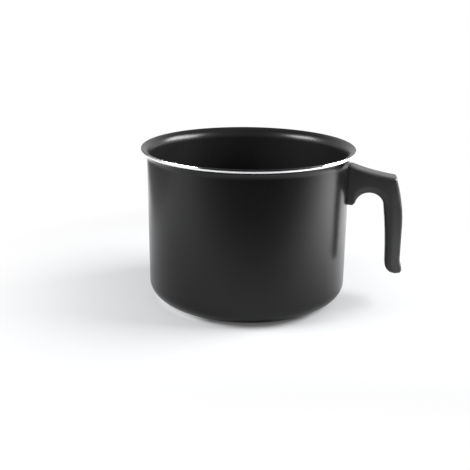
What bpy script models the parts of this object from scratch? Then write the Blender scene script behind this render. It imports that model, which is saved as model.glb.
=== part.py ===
"""Milk pot: a drawn aluminium pot with a flared rim and a moulded hook handle.

The pot is one turned shell. Its only fastening is a threaded stud that is welded to the
outside of the wall. The handle is one phenolic moulding: its foot is saddled to the wall,
an arm arches over the fingers and a grip hangs from the arm. A long screw enters at the
back of the arm, runs through it and pulls the foot against the wall.

Metres, +Z up. The origin is the centre of the underside, and the handle points along +X.
"""
import math

import bmesh
import bpy
from mathutils import Vector

# Pot
POT_HEIGHT = 0.1110
RIM_RADIUS = 0.0765
BODY_TOP_RADIUS = 0.0724
BODY_FOOT_RADIUS = 0.0721
SHEET = 0.0020
FLOOR_THICKNESS = 0.0026
FLARE_RISE = 0.0058
LIP_ROUND = 0.0005
CORNER_RUN = 0.0136
CORNER_RISE = 0.0110

# Turned grooves in the underside
GROOVE_COUNT = 4
GROOVE_FIRST_RADIUS = 0.0150
GROOVE_PITCH = 0.0110
GROOVE_WIDTH = 0.0024
GROOVE_DEPTH = 0.0004
GROOVE_FLOOR_SHARE = 0.5

# Handle outline: the foot lies on the wall, the arm ends at the elbow, the grip hangs down
FOOT_TOP_BELOW_RIM = 0.0108
FOOT_HEIGHT = 0.0272
FOOT_DEPTH = 0.0049
ARM_REACH = 0.0338
ARM_FALL = 0.0074
ARCH_SPAN = 0.0200
ARCH_RISE = 0.0094
GRIP_REACH = 0.0387
GRIP_FULL_HEIGHT = 0.0580
GRIP_DEPTH = 0.0094
TIP_HEIGHT = 0.0234
TIP_RUN = 0.0052
TIP_RISE = 0.0075
HEEL_REACH = 0.0018
HEEL_RISE = 0.0100

# Handle section: rolled towards the fingers, flat sided, rounded at its edges
HANDLE_WIDTH = 0.0165
CREST_WIDTH = 0.0116
CREST_ROUND = 0.0008
ROLL_DEPTH = 0.0054
BACK_WIDTH = 0.0138
EDGE_ROUND = 0.0013
BACK_ROUND = 0.0022
TIP_EDGE_ROUND = 0.0015

# Fixing
SCREW_BELOW_FOOT_TOP = 0.0128
SCREW_DIAMETER = 0.0040
SCREW_LENGTH = 0.0250
SCREW_TIP_GAP = 0.0014
HEAD_DIAMETER = 0.0070
HEAD_HEIGHT = 0.0028
HEAD_DOME = 0.0012
RECESS_LENGTH = 0.0038
RECESS_WIDTH = 0.0009
RECESS_DEPTH = 0.0015
WASHER_DIAMETER = 0.0068
WASHER_THICKNESS = 0.0010
WASHER_SPLIT = 0.0008
STUD_DIAMETER = 0.0080
STUD_LENGTH = 0.0070
STUD_FLANGE_DIAMETER = 0.0096
STUD_FLANGE_THICKNESS = 0.0014
THREAD_CHAMFER = 0.0005

# Clearances
SEAT_GAP = 0.0003
HOLE_CLEARANCE = 0.0004
OVERRUN = 0.0040

# Shares, chosen by hand, that shape the handle's curves
ROLL_SPAN_SHARE = 0.40
ROLL_BLEND_SHARES = (0.45, 0.85)
ARM_SWEEP_SHARES = (0.37, 0.60)
GRIP_LEAN_SHARES = (0.84, 0.46)
LEAST_ROUND_SHARE = 0.2
CREST_CHAMFER_SHARE = 0.33

# Angles, in degrees, seen from the arch's middle and counted from the foot
ROLL_FADE_ANGLE = 65
NARROWING_ANGLES = (130, 180)
ELBOW_ANGLE = 17

# Facets
TURNED_STEPS = 72
SMALL_STEPS = 32
CORNER_FACETS = 7
LIP_FACETS = 2
EDGE_FACETS = 3
ELBOW_FACETS = 4
ROLL_FACETS = 5
SWEEP_FACETS = 10
FOOT_RING_SHARES = (0, 0.15, 0.5)
TIP_RING_SHARES = (0.82, 0.62, 0.42, 0.22, 0.1, 0.03, 0)
SHARP_ANGLE = 35
MERGE_DISTANCE = 0.00001

# Worked out from the sizes above
FLARE_START = POT_HEIGHT - SHEET - FLARE_RISE
FOOT_TOP = POT_HEIGHT - FOOT_TOP_BELOW_RIM
FOOT_BOTTOM = FOOT_TOP - FOOT_HEIGHT
SCREW_HEIGHT = FOOT_TOP - SCREW_BELOW_FOOT_TOP


def wall_radius(height):
    """Outer radius of the wall, which opens slightly from the corner to the flare."""
    share = (height - CORNER_RISE) / (FLARE_START - CORNER_RISE)
    return BODY_FOOT_RADIUS + share * (BODY_TOP_RADIUS - BODY_FOOT_RADIUS)


SEAT_RADIUS = wall_radius(SCREW_HEIGHT) + SEAT_GAP
SADDLE_RADIUS = min(wall_radius(FOOT_TOP), wall_radius(FOOT_BOTTOM)) + SEAT_GAP
FOOT_BACK = math.sqrt(SADDLE_RADIUS ** 2 - (HANDLE_WIDTH / 2) ** 2)
ARCH_MIDDLE = FOOT_BACK + FOOT_DEPTH + ARCH_SPAN / 2
ELBOW = FOOT_BACK + ARM_REACH
GRIP_BACK = FOOT_BACK + GRIP_REACH
STUD_END = SEAT_RADIUS + STUD_LENGTH
SCREW_TIP = SEAT_RADIUS + SCREW_TIP_GAP
HEAD_SEAT = SCREW_TIP + SCREW_LENGTH
WASHER_SEAT = HEAD_SEAT - SEAT_GAP - WASHER_THICKNESS
COUNTERBORE_FLOOR = WASHER_SEAT - SEAT_GAP


# Helpers

def new_collection(name):
    collection = bpy.data.collections.new(name)
    bpy.context.scene.collection.children.link(collection)
    return collection


def new_material(name, colour, roughness, metallic):
    material = bpy.data.materials.new(name)
    material.use_nodes = True
    shader = material.node_tree.nodes["Principled BSDF"]
    shader.inputs["Base Color"].default_value = (*colour, 1)
    shader.inputs["Roughness"].default_value = roughness
    shader.inputs["Metallic"].default_value = metallic
    material.diffuse_color = (*colour, 1)
    return material


def link_mesh(name, mesh, collection, material=None):
    thing = bpy.data.objects.new(name, mesh)
    collection.objects.link(thing)
    if material:
        mesh.materials.append(material)
    return thing


def shade_smooth(mesh):
    mesh.shade_smooth()
    mesh.set_sharp_from_angle(angle=math.radians(SHARP_ANGLE))


def arc(centre, run, rise, start, end, facets):
    """Points round part of an ellipse, from one angle to another, both ends included."""
    points = []
    for step in range(facets + 1):
        angle = math.radians(start + (end - start) * step / facets)
        points.append((centre[0] + run * math.cos(angle), centre[1] + rise * math.sin(angle)))
    return points


def curve(first, control, last, facets):
    """Points along a quadratic curve, both ends included."""
    points = []
    for step in range(facets + 1):
        share = step / facets
        weights = ((1 - share) ** 2, 2 * share * (1 - share), share ** 2)
        corners = (first, control, last)
        points.append(tuple(sum(w * c[axis] for w, c in zip(weights, corners)) for axis in (0, 1)))
    return points


def between(low, high, share):
    return low + (high - low) * share


def ease(share):
    """A smooth step from 0 to 1."""
    share = min(max(share, 0), 1)
    return share * share * (3 - 2 * share)


def turned(name, profile, steps, collection, material=None, closed=False):
    """Turn a profile of (radius, height) points about Z; it runs down its outer side."""
    mesh = bpy.data.meshes.new(name)
    edges = [(index, index + 1) for index in range(len(profile) - 1)]
    if closed:
        edges.append((len(profile) - 1, 0))
    mesh.from_pydata([(radius, 0, height) for radius, height in profile], edges, [])
    thing = link_mesh(name, mesh, collection, material)
    screw = thing.modifiers.new("Turn", "SCREW")
    screw.steps = steps
    screw.render_steps = steps
    screw.use_merge_vertices = True
    screw.merge_threshold = MERGE_DISTANCE
    screw.use_smooth_shade = True
    return thing


def lay_on_screw_line(thing):
    """Lay a piece that was made about Z along the screw's line, which runs along +X."""
    thing.rotation_euler = (0, math.radians(90), 0)
    thing.location = (0, 0, SCREW_HEIGHT)


def cut(thing, cutter, label):
    cutter.hide_render = True
    cutter.display_type = "WIRE"
    boolean = thing.modifiers.new(label, "BOOLEAN")
    boolean.operation = "DIFFERENCE"
    boolean.solver = "EXACT"
    boolean.object = cutter


def box_cutter(name, size, centre, cutters):
    mesh = bpy.data.meshes.new(name)
    builder = bmesh.new()
    bmesh.ops.create_cube(builder, size=1)
    bmesh.ops.scale(builder, vec=size, verts=builder.verts)
    bmesh.ops.translate(builder, vec=centre, verts=builder.verts)
    builder.to_mesh(mesh)
    builder.free()
    return link_mesh(name, mesh, cutters)


# Pot

def underside():
    """From the corner to the axis: flat lands with shallow turned grooves between them."""
    half = GROOVE_WIDTH / 2
    floor_half = GROOVE_FLOOR_SHARE * half
    points = []
    for index in reversed(range(GROOVE_COUNT)):
        middle = GROOVE_FIRST_RADIUS + index * GROOVE_PITCH
        points.append((middle + half, 0))
        points.append((middle + floor_half, GROOVE_DEPTH))
        points.append((middle - floor_half, GROOVE_DEPTH))
        points.append((middle - half, 0))
    return points + [(0, 0)]


def pot_profile():
    """Floor, inner wall, flare, trimmed edge, outer wall and underside, axis to axis."""
    flat_radius = BODY_FOOT_RADIUS - CORNER_RUN
    lip_radius = RIM_RADIUS - LIP_ROUND
    inside_run = CORNER_RUN - SHEET
    inside_rise = CORNER_RISE - FLOOR_THICKNESS
    flare_run = lip_radius - (BODY_TOP_RADIUS - SHEET)
    flare_rise = POT_HEIGHT - FLARE_START
    fillet_run = RIM_RADIUS - BODY_TOP_RADIUS
    lip_middle = (lip_radius, POT_HEIGHT - LIP_ROUND)
    corner_middle = (flat_radius, CORNER_RISE)
    points = [(0, FLOOR_THICKNESS)]
    points += arc(corner_middle, inside_run, inside_rise, -90, 0, CORNER_FACETS)
    points += arc((lip_radius, FLARE_START), flare_run, flare_rise, 180, 90, CORNER_FACETS)
    points += arc(lip_middle, LIP_ROUND, LIP_ROUND, 90, 0, LIP_FACETS)[1:]
    points += arc((RIM_RADIUS, FLARE_START), fillet_run, FLARE_RISE, 90, 180, CORNER_FACETS)
    points += arc(corner_middle, CORNER_RUN, CORNER_RISE, 0, -90, CORNER_FACETS)
    return points + underside()


def make_pot(parts):
    coat = new_material("black_coat", (0.018, 0.018, 0.019), 0.32, 0)
    return turned("pot_body", pot_profile(), TURNED_STEPS, parts, coat)


# Handle

def back_of_arm():
    """Outline up the wall, round the foot's top, out along the arm and down to the grip."""
    rounding = EDGE_ROUND
    corner = (FOOT_BACK + rounding, FOOT_TOP - rounding)
    points = []
    for step in range(ELBOW_FACETS):
        height = between(FOOT_BOTTOM + TIP_EDGE_ROUND, corner[1], step / ELBOW_FACETS)
        points.append((FOOT_BACK, height))
    points += arc(corner, rounding, rounding, 180, 90, EDGE_FACETS)
    start = points[-1]
    end = (ELBOW - BACK_ROUND, FOOT_TOP - ARM_FALL)
    control = (between(start[0], end[0], ARM_SWEEP_SHARES[0]),
               between(start[1], end[1], ARM_SWEEP_SHARES[1]))
    points += curve(start, control, end, SWEEP_FACETS)[1:]
    elbow_middle = (end[0], end[1] - BACK_ROUND)
    points += arc(elbow_middle, BACK_ROUND, BACK_ROUND, 90, ELBOW_ANGLE, ELBOW_FACETS)[1:]
    return points


def back_of_grip(start):
    """Outline from the elbow to where the grip's back hangs plumb."""
    reach = GRIP_BACK - start[0]
    control = (GRIP_BACK, start[1] - reach / math.tan(math.radians(ELBOW_ANGLE)))
    return curve(start, control, (GRIP_BACK, GRIP_FULL_HEIGHT), SWEEP_FACETS)


def height_lookup(points, height):
    """The reach of a falling outline at a height."""
    for upper, lower in zip(points, points[1:]):
        if lower[1] <= height <= upper[1]:
            share = (upper[1] - height) / (upper[1] - lower[1])
            return between(upper[0], lower[0], share)
    return points[-1][0]


def grip_back_reach(grip_curve, height):
    """Reach of the grip's back, with the heel that stops the hand from slipping off."""
    reach = height_lookup(grip_curve, height)
    heel_top = TIP_HEIGHT + HEEL_RISE
    if height < heel_top:
        reach += HEEL_REACH * ease((heel_top - height) / (HEEL_RISE - TIP_EDGE_ROUND))
    return reach


def tip_share(height):
    """How far the tip is rounded off at a height: 0 above the rounding, 1 at the end."""
    fall = (TIP_HEIGHT + TIP_RISE - height) / TIP_RISE
    return 1 - math.sqrt(max(1 - max(fall, 0) ** 2, 0))


def end_inset(distance):
    """How much a section shrinks this far from the end of the moulding."""
    fall = max(TIP_EDGE_ROUND - distance, 0)
    return TIP_EDGE_ROUND - math.sqrt(TIP_EDGE_ROUND ** 2 - fall ** 2)


def arch_point(angle):
    """Point of the arch seen from its middle at an angle above +X."""
    run = ARCH_SPAN / 2
    distance = 1 / math.hypot(math.cos(angle) / run, math.sin(angle) / ARCH_RISE)
    return (ARCH_MIDDLE + distance * math.cos(angle), FOOT_BOTTOM + distance * math.sin(angle))


def section(front, back, roll, back_share, inset):
    """One closed ring of the handle, from its crest over the fingers to its back.

    roll is 0 where the finger side is square and 1 where it is fully rolled, and
    back_share is 0 on the flat-sided arm and 1 on the grip, whose back is narrower.
    """
    line = Vector((back[0] - front[0], 0, back[1] - front[1]))
    span = line.length
    line.normalize()
    half = HANDLE_WIDTH / 2 - inset
    crest = between(half, CREST_WIDTH / 2 - inset, roll)
    back_half = between(half, BACK_WIDTH / 2 - inset, back_share)
    crest_round = max(CREST_ROUND - inset, CREST_ROUND * LEAST_ROUND_SHARE)
    rounding = between(EDGE_ROUND, BACK_ROUND, back_share)
    rounding = max(rounding - inset, rounding * LEAST_ROUND_SHARE)
    deep = between(2 * crest_round, min(ROLL_DEPTH, ROLL_SPAN_SHARE * span), roll)
    bend = (ROLL_BLEND_SHARES[0] * deep, between(crest, half, ROLL_BLEND_SHARES[1]))
    chamfer = CREST_CHAMFER_SHARE * crest_round
    side = [(0, crest - crest_round), (chamfer, crest - chamfer)]
    side += curve((crest_round, crest), bend, (deep, half), ROLL_FACETS)
    side.append(((deep + span - rounding) / 2, (half + back_half) / 2))
    corner = (back_half - rounding, span - rounding)
    side += [(u, y) for y, u in arc(corner, rounding, rounding, 0, 90, EDGE_FACETS)]
    start = Vector((front[0], 0, front[1]))
    ring = [start + line * along + Vector((0, across, 0)) for along, across in side]
    mirrored = [start + line * along - Vector((0, across, 0)) for along, across in side]
    return ring + mirrored[::-1]


def moved_in(front, back, inset):
    """Both ends of a section line, moved towards each other."""
    line = Vector(back) - Vector(front)
    line.normalize()
    return tuple(Vector(front) + line * inset), tuple(Vector(back) - line * inset)


def foot_sections():
    """The first rings, which round the foot's lower end."""
    rings = []
    for share in FOOT_RING_SHARES:
        height = FOOT_BOTTOM + share * TIP_EDGE_ROUND
        inset = end_inset(share * TIP_EDGE_ROUND)
        front, back = moved_in((FOOT_BACK + FOOT_DEPTH, height), (FOOT_BACK, height), inset)
        rings.append(section(front, back, 0, 0, inset))
    return rings


def arm_sections(grip_curve):
    """Rings that fan round the arch's middle, from the foot over the elbow to the grip."""
    rings = []
    narrowing_start, narrowing_end = NARROWING_ANGLES
    outline = back_of_arm() + grip_curve[1:]
    for back in outline:
        if back[1] < FOOT_BOTTOM:
            break
        angle = math.atan2(back[1] - FOOT_BOTTOM, back[0] - ARCH_MIDDLE)
        turned_by = 180 - math.degrees(angle)
        roll = ease(turned_by / ROLL_FADE_ANGLE)
        back_share = ease((turned_by - narrowing_start) / (narrowing_end - narrowing_start))
        rings.append(section(arch_point(angle), back, roll, back_share, 0))
    return rings


def grip_sections(grip_curve):
    """Level rings down the grip, with its rounded tip and heel."""
    top = (ARCH_MIDDLE + ARCH_SPAN / 2, FOOT_BOTTOM)
    low = (GRIP_BACK - GRIP_DEPTH, TIP_HEIGHT + TIP_RISE)
    control = (between(top[0], low[0], GRIP_LEAN_SHARES[0]),
               between(top[1], low[1], GRIP_LEAN_SHARES[1]))
    fronts = curve(top, control, low, SWEEP_FACETS)
    for share in TIP_RING_SHARES:
        height = TIP_HEIGHT + share * TIP_RISE
        fronts.append((low[0] + TIP_RUN * tip_share(height), height))
    rings = []
    for front in fronts:
        height = front[1]
        inset = end_inset(height - TIP_HEIGHT)
        back = (grip_back_reach(grip_curve, height) - inset, height)
        rings.append(section(front, back, 1, 1, inset))
    return rings


def loft(name, rings, collection, material):
    """A closed solid through rings of equal counts, with a flat cap at each end."""
    builder = bmesh.new()
    loops = [[builder.verts.new(point) for point in ring] for ring in rings]
    for lower, upper in zip(loops, loops[1:]):
        for index in range(len(lower)):
            following = (index + 1) % len(lower)
            corners = (lower[index], lower[following], upper[following], upper[index])
            builder.faces.new(corners)
    builder.faces.new(loops[0])
    builder.faces.new(loops[-1])
    bmesh.ops.recalc_face_normals(builder, faces=builder.faces)
    mesh = bpy.data.meshes.new(name)
    builder.to_mesh(mesh)
    builder.free()
    shade_smooth(mesh)
    return link_mesh(name, mesh, collection, material)


def fixing_space(cutters):
    """The handle's stepped bore: stud flange, stud, screw shank and counterbore."""
    flange = STUD_FLANGE_DIAMETER / 2 + HOLE_CLEARANCE
    stud = STUD_DIAMETER / 2 + HOLE_CLEARANCE
    shank = SCREW_DIAMETER / 2 + HOLE_CLEARANCE
    head = HEAD_DIAMETER / 2 + HOLE_CLEARANCE
    flange_end = SEAT_RADIUS + STUD_FLANGE_THICKNESS + SEAT_GAP
    outside = GRIP_BACK + OVERRUN
    profile = [(0, outside), (head, outside), (head, COUNTERBORE_FLOOR),
               (shank, COUNTERBORE_FLOOR), (shank, STUD_END + SEAT_GAP),
               (stud, STUD_END + SEAT_GAP), (stud, flange_end), (flange, flange_end),
               (flange, FOOT_BACK - OVERRUN), (0, FOOT_BACK - OVERRUN)]
    cutter = turned("fixing_space", profile, SMALL_STEPS, cutters)
    lay_on_screw_line(cutter)
    return cutter


def wall_space(cutters):
    """The pot's wall with its seating gap, which shapes the saddle and the stud's root."""
    bottom = FOOT_BOTTOM - OVERRUN
    top = FOOT_TOP + OVERRUN
    profile = [(0, top), (wall_radius(top) + SEAT_GAP, top),
               (wall_radius(bottom) + SEAT_GAP, bottom), (0, bottom)]
    return turned("wall_space", profile, TURNED_STEPS, cutters)


def make_handle(parts, cutters, wall):
    phenolic = new_material("black_phenolic", (0.022, 0.022, 0.023), 0.38, 0)
    grip_curve = back_of_grip(back_of_arm()[-1])
    rings = foot_sections() + arm_sections(grip_curve) + grip_sections(grip_curve)
    handle = loft("hook_handle", rings, parts, phenolic)
    cut(handle, wall, "Saddle")
    cut(handle, fixing_space(cutters), "Fixing bore")
    return handle


# Fixing

def make_stud(parts, wall):
    """Welded stud: a flange on the wall and a boss with a blind tapped bore."""
    aluminium = new_material("stud_aluminium", (0.62, 0.62, 0.63), 0.35, 1)
    bore = SCREW_DIAMETER / 2 + SEAT_GAP
    bore_floor = SCREW_TIP - SEAT_GAP
    outer = STUD_DIAMETER / 2
    flange = STUD_FLANGE_DIAMETER / 2
    flange_end = SEAT_RADIUS + STUD_FLANGE_THICKNESS
    root = FOOT_BACK - OVERRUN
    profile = [(0, bore_floor), (bore, bore_floor), (bore, STUD_END),
               (outer - THREAD_CHAMFER, STUD_END), (outer, STUD_END - THREAD_CHAMFER),
               (outer, flange_end), (flange, flange_end), (flange, root), (0, root)]
    stud = turned("handle_stud", profile, SMALL_STEPS, parts, aluminium)
    lay_on_screw_line(stud)
    cut(stud, wall, "Wall")
    return stud


def make_screw(parts, cutters):
    """Pan-head screw with a cross recess."""
    steel = new_material("zinc_steel", (0.60, 0.60, 0.60), 0.30, 1)
    head_top = HEAD_SEAT + HEAD_HEIGHT
    head = HEAD_DIAMETER / 2
    shank = SCREW_DIAMETER / 2
    profile = arc((0, head_top - HEAD_DOME), head, HEAD_DOME, 90, 0, EDGE_FACETS)
    profile += [(head, HEAD_SEAT), (shank, HEAD_SEAT), (shank, SCREW_TIP + THREAD_CHAMFER),
                (shank - THREAD_CHAMFER, SCREW_TIP), (0, SCREW_TIP)]
    screw = turned("handle_screw", profile, SMALL_STEPS, parts, steel)
    lay_on_screw_line(screw)
    middle = (head_top, 0, SCREW_HEIGHT)
    upright = (2 * RECESS_DEPTH, RECESS_WIDTH, RECESS_LENGTH)
    level = (2 * RECESS_DEPTH, RECESS_LENGTH, RECESS_WIDTH)
    cut(screw, box_cutter("recess_upright", upright, middle, cutters), "Recess upright")
    cut(screw, box_cutter("recess_level", level, middle, cutters), "Recess level")
    return screw


def make_washer(parts, cutters):
    """Split spring washer under the screw's head."""
    steel = new_material("spring_steel", (0.42, 0.42, 0.43), 0.35, 1)
    outer = WASHER_DIAMETER / 2
    inner = SCREW_DIAMETER / 2 + SEAT_GAP
    top = WASHER_SEAT + WASHER_THICKNESS
    profile = [(inner, top), (outer, top), (outer, WASHER_SEAT), (inner, WASHER_SEAT)]
    washer = turned("lock_washer", profile, SMALL_STEPS, parts, steel, closed=True)
    lay_on_screw_line(washer)
    size = (2 * WASHER_THICKNESS + 2 * OVERRUN, WASHER_SPLIT, WASHER_DIAMETER)
    middle = (WASHER_SEAT, 0, SCREW_HEIGHT - WASHER_DIAMETER / 2)
    cut(washer, box_cutter("washer_split", size, middle, cutters), "Split")
    return washer


def main():
    for thing in list(bpy.data.objects):
        bpy.data.objects.remove(thing, do_unlink=True)
    parts = new_collection("milk_pot")
    cutters = new_collection("cutters")
    wall = wall_space(cutters)
    make_pot(parts)
    make_handle(parts, cutters, wall)
    make_stud(parts, wall)
    make_screw(parts, cutters)
    make_washer(parts, cutters)


main()
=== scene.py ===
# %% [markdown]
# # A milk pot with a hook handle
#
# The object is a small tall pot for warming milk: a shell drawn from aluminium sheet, coated
# black inside and out, with a flared pouring rim whose trimmed edge is left bare. A moulded
# black phenolic hook hangs on one side. A stud on the wall, a long screw and a spring washer
# hold it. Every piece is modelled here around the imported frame, in metres and in its place.

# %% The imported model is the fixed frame
import math

import bmesh
import bpy
from mathutils import Matrix, Vector


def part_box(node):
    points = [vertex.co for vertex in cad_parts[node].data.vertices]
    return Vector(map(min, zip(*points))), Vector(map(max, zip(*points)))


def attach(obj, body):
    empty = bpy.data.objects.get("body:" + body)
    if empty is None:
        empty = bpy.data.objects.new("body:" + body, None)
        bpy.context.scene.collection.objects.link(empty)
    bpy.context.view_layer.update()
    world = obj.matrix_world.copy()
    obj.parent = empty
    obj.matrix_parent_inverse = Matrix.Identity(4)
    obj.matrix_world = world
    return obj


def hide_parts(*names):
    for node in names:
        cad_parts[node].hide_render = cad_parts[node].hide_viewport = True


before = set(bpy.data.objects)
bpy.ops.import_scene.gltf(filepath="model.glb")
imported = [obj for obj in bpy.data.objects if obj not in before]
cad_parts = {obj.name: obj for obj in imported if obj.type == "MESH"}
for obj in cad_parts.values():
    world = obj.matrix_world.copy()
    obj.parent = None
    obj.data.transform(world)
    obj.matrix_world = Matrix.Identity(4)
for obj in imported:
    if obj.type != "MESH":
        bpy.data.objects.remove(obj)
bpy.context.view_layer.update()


def in_mm(values):
    return [round(1000 * value, 2) for value in values]


for node in sorted(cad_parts):
    low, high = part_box(node)
    print(node, in_mm(low), in_mm(high))

# %% [markdown]
# ## Camera
#
# A product photograph is taken with a longish lens from a little above the rim, so that the
# mouth of the pot shows as a flat ellipse. A camera could be aimed by eye, or with a Track To
# constraint. Here its place and its three angles are given as numbers, because they were
# worked out from the rim's ellipse and the sides of the wall. The handle points along +X and
# comes a few degrees towards the camera, so the camera is turned by that angle round Z.

# %% Camera
LENS = 62.39
SENSOR = 36.0
DISTANCE = 0.600
AIM_HEIGHT = 0.055
ELEVATION = math.radians(16.703)
HANDLE_TURN = math.radians(6.5)
PAN = math.radians(-0.896)
TILT = math.radians(17.712)
ROLL = math.radians(0.585)

bpy.ops.object.camera_add()
camera = bpy.context.object
camera.name = "camera"
camera.data.lens = LENS
camera.data.sensor_width = SENSOR
camera.location = Matrix.Rotation(HANDLE_TURN, 3, "Z") @ Vector(
    (0, -DISTANCE * math.cos(ELEVATION), AIM_HEIGHT + DISTANCE * math.sin(ELEVATION)))
turn = Matrix.Rotation(HANDLE_TURN - PAN, 3, "Z")
tip = Matrix.Rotation(math.radians(90) - TILT, 3, "X")
lean = Matrix.Rotation(ROLL, 3, "Z")
camera.rotation_euler = (turn @ tip @ lean).to_euler()
bpy.context.scene.camera = camera
print("camera at", in_mm(camera.location))

# %% [markdown]
# ## Helpers for modelling by hand
#
# Every piece is made in the same way as at the desk. A primitive is added, edit mode is
# opened, and extrude, spin, bevel and the transform operators shape it. An operator acts on
# all that is selected, so each step selects what it needs first, by place. The helpers below
# only save repeating those steps.

# %% Select and start
MERGE_DISTANCE = 1e-6


def select_only(piece):
    bpy.ops.object.select_all(action="DESELECT")
    piece.select_set(True)
    bpy.context.view_layer.objects.active = piece


def start(name, primitive, **options):
    """Add a primitive with nothing else selected, and open it in edit mode."""
    bpy.ops.object.select_all(action="DESELECT")
    primitive(**options)
    piece = bpy.context.object
    piece.name = name
    piece.data.name = name
    bpy.ops.object.mode_set(mode="EDIT")
    bpy.ops.mesh.select_mode(type="VERT")
    bpy.ops.mesh.select_all(action="SELECT")
    return piece


def pick_faces(piece, wanted):
    """In edit mode, select only the faces that wanted() says yes to, and count them."""
    bpy.ops.mesh.select_mode(type="FACE")
    bpy.ops.mesh.select_all(action="DESELECT")
    mesh = bmesh.from_edit_mesh(piece.data)
    for face in mesh.faces:
        if wanted(face):
            face.select_set(True)
    mesh.select_flush_mode()
    bmesh.update_edit_mesh(piece.data)
    return sum(face.select for face in mesh.faces)


# %% Close and finish
def apply_place():
    """Leave the selected object unturned at the origin, with its place in its mesh."""
    bpy.ops.object.transform_apply(location=True, rotation=True, scale=True)


def cap_ends():
    """In edit mode, close the open ends of a mesh."""
    bpy.ops.mesh.select_all(action="DESELECT")
    bpy.ops.mesh.select_non_manifold()
    bpy.ops.mesh.fill_holes(sides=0)


def close_up():
    """Weld the doubled points of a finished shell and turn its faces outwards."""
    bpy.ops.mesh.select_all(action="SELECT")
    bpy.ops.mesh.remove_doubles(threshold=MERGE_DISTANCE)
    bpy.ops.mesh.normals_make_consistent(inside=False)
    bpy.ops.object.mode_set(mode="OBJECT")
    apply_place()


def apply_modifiers(piece):
    select_only(piece)
    for modifier in list(piece.modifiers):
        bpy.ops.object.modifier_apply(modifier=modifier.name)


def smooth(piece, degrees):
    """Shade a piece smooth, except where its faces meet at more than an angle."""
    select_only(piece)
    bpy.ops.object.shade_smooth_by_angle(angle=math.radians(degrees))


def report(piece):
    piece.data.calc_loop_triangles()
    print(piece.name, in_mm(piece.dimensions), "mm,", len(piece.data.loop_triangles), "triangles")


# %% Draw a line point by point, and turn it on the lathe
PEN_SIZE = 0.001


def put_point(name, place):
    """Merge a new plane to one point, which the next steps draw out into a line."""
    piece = start(name, bpy.ops.mesh.primitive_plane_add, size=PEN_SIZE)
    bpy.ops.mesh.merge(type="CENTER")
    bpy.ops.transform.translate(value=place)
    return piece


def draw_out(step):
    """Extrude the selected point or line by one step."""
    bpy.ops.mesh.extrude_region_move(TRANSFORM_OT_translate={"value": step})


def draw_line(name, points):
    """Draw a line through points of the XZ plane, as with a pen."""
    piece = put_point(name, (points[0][0], 0, points[0][1]))
    for here, there in zip(points, points[1:]):
        draw_out((there[0] - here[0], 0, there[1] - here[1]))
    return piece


def lathe(name, points, steps):
    """Spin a half section round Z into a closed shell."""
    piece = draw_line(name, points)
    bpy.ops.mesh.select_all(action="SELECT")
    bpy.ops.mesh.spin(steps=steps, angle=math.tau, center=(0, 0, 0), axis=(0, 0, 1))
    close_up()
    return piece


def arc(middle, run, rise, first, last, facets):
    """Points round part of an ellipse, from one angle to another, both ends included."""
    angles = [math.radians(first + (last - first) * k / facets) for k in range(facets + 1)]
    return [(middle[0] + run * math.cos(a), middle[1] + rise * math.sin(a)) for a in angles]


# %% [markdown]
# ## The pot
#
# A real pot of this kind is deep drawn from a disc of sheet, its rim is rolled outwards and
# trimmed on a lathe, and its underside is turned flat. The shell could be a cylinder with its
# top scaled up, but the corner at the foot and the flare are both curves of their own. So
# half of its section is drawn as one line, down the inside, over the rim and down the outside,
# and spun round Z. The wall then has its real thickness everywhere. The trimmed edge is a
# band a little higher than the sheet is thick, because the flare still rises where it is cut.

# %% Sizes of the pot
POT_HEIGHT = 0.1110
RIM_RADIUS = 0.0765
TOP_RADIUS = 0.0724
FOOT_RADIUS = 0.0721
SHEET = 0.0020
FLOOR = 0.0026
CORNER_RUN = 0.0158
CORNER_RISE = 0.0126
FLARE_RISE = 0.0055
EDGE_HEIGHT = 0.0023
EDGE_SLANT = 0.00028
EDGE_BREAK = 0.00012
LIP_HEIGHT = 0.00105
LIP_ROUND = 0.0007
LATHE_STEPS = 256

FLARE_START = POT_HEIGHT - EDGE_HEIGHT - FLARE_RISE
FLAT_RADIUS = FOOT_RADIUS - CORNER_RUN
LIP_RADIUS = RIM_RADIUS - LIP_ROUND
WALL_HEIGHTS = [CORNER_RISE + share * (FLARE_START - CORNER_RISE) for share in (0.25, 0.5, 0.75)]


def wall_radius(height):
    """The outer radius of the wall, which opens a little from foot to flare."""
    share = (height - CORNER_RISE) / (FLARE_START - CORNER_RISE)
    return FOOT_RADIUS + share * (TOP_RADIUS - FOOT_RADIUS)


print("flat foot, wall and rim", in_mm([FLAT_RADIUS, wall_radius(FLARE_START), RIM_RADIUS]), "mm")


# %% The inside of the pot
INNER_RUN = 0.0051
INNER_RISE = 0.00735
INNER_END_ANGLE = 112
LIP_FROM_ANGLE = 110
SHOULDER_RUN = 0.0010
SHOULDER_RISE = 0.00058
FLOOR_RINGS = (0.020, 0.040)
INNER_CORNER_FACETS = 18
INNER_FLARE_FACETS = 24
SHOULDER_FACETS = 3


def lip_arc(first, last, facets):
    return arc((LIP_RADIUS, POT_HEIGHT - LIP_ROUND), LIP_ROUND, LIP_ROUND, first, last, facets)


def inside_line():
    """From the middle of the floor out, up the wall, and over a small shoulder to the lip."""
    line = [(0, FLOOR)] + [(radius, FLOOR) for radius in FLOOR_RINGS]
    line += arc((FLAT_RADIUS, CORNER_RISE), CORNER_RUN - SHEET, CORNER_RISE - FLOOR, -90, 0,
                INNER_CORNER_FACETS)
    line += [(wall_radius(height) - SHEET, height) for height in WALL_HEIGHTS]
    line += arc((TOP_RADIUS - SHEET + INNER_RUN, FLARE_START), INNER_RUN, INNER_RISE,
                180, INNER_END_ANGLE, INNER_FLARE_FACETS)
    line.append((line[-1][0] + SHOULDER_RUN, line[-1][1] + SHOULDER_RISE))
    return line + lip_arc(LIP_FROM_ANGLE, 90, SHOULDER_FACETS)


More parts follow.
